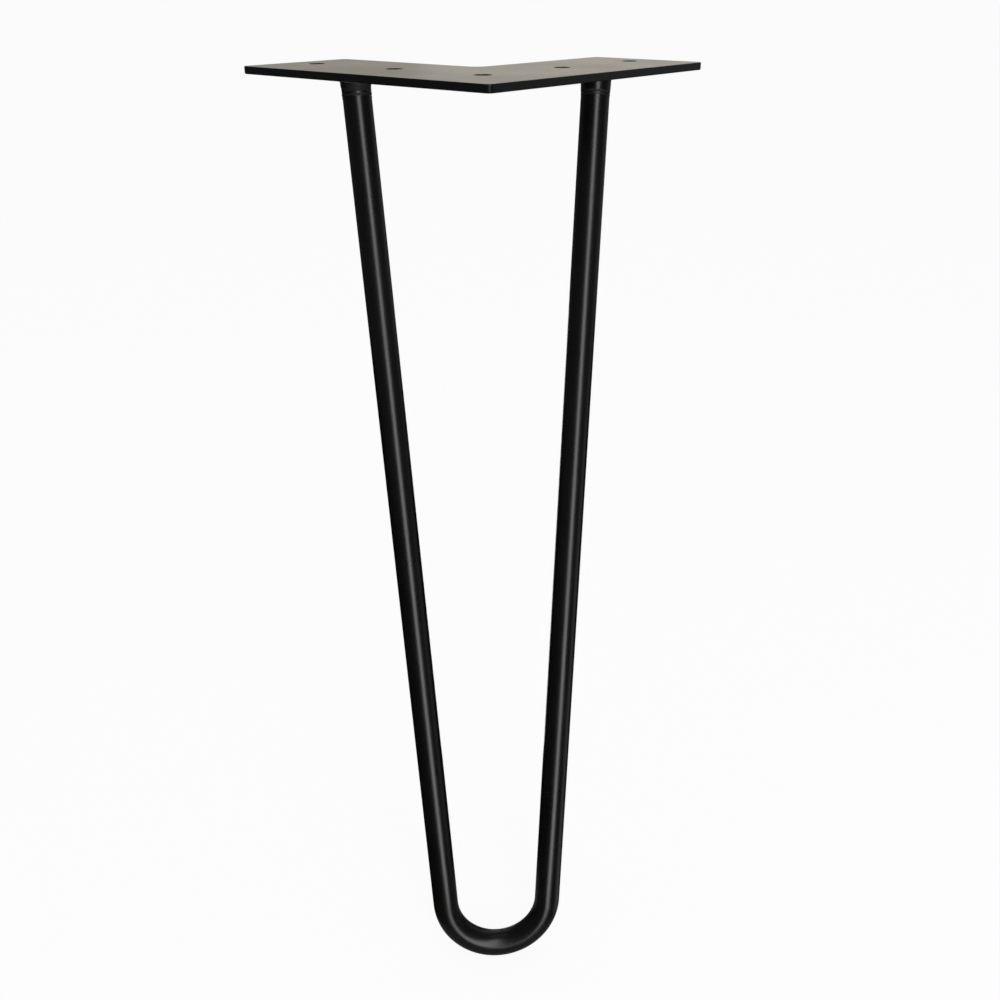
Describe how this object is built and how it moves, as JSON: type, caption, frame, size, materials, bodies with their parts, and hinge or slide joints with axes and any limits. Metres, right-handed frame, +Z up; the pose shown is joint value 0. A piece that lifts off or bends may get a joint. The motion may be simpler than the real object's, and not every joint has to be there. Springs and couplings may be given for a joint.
{
  "type": "hairpin table leg",
  "caption": "Hairpin furniture leg: a round steel bar bent double at the foot, splayed outwards and welded under an L-shaped plate with screw holes, in satin black.",
  "frame": {"origin": "middle of the corner screw hole, on the plate's top face, which goes against the table top", "axes": "+Z up out of the plate's top face, -Y out along the diagonal to the table's corner, X across, with X = 0 the mirror plane"},
  "size_m": [0.1902, 0.1557, 0.4],
  "materials": {
    "black_powder_coat": "satin black powder coat on mild steel"
  },
  "bodies": {
    "root": {"mounting_plate": "black_powder_coat", "hairpin_rod": "black_powder_coat", "left_weld": "black_powder_coat", "right_weld": "black_powder_coat"}
  },
  "joints": []
}
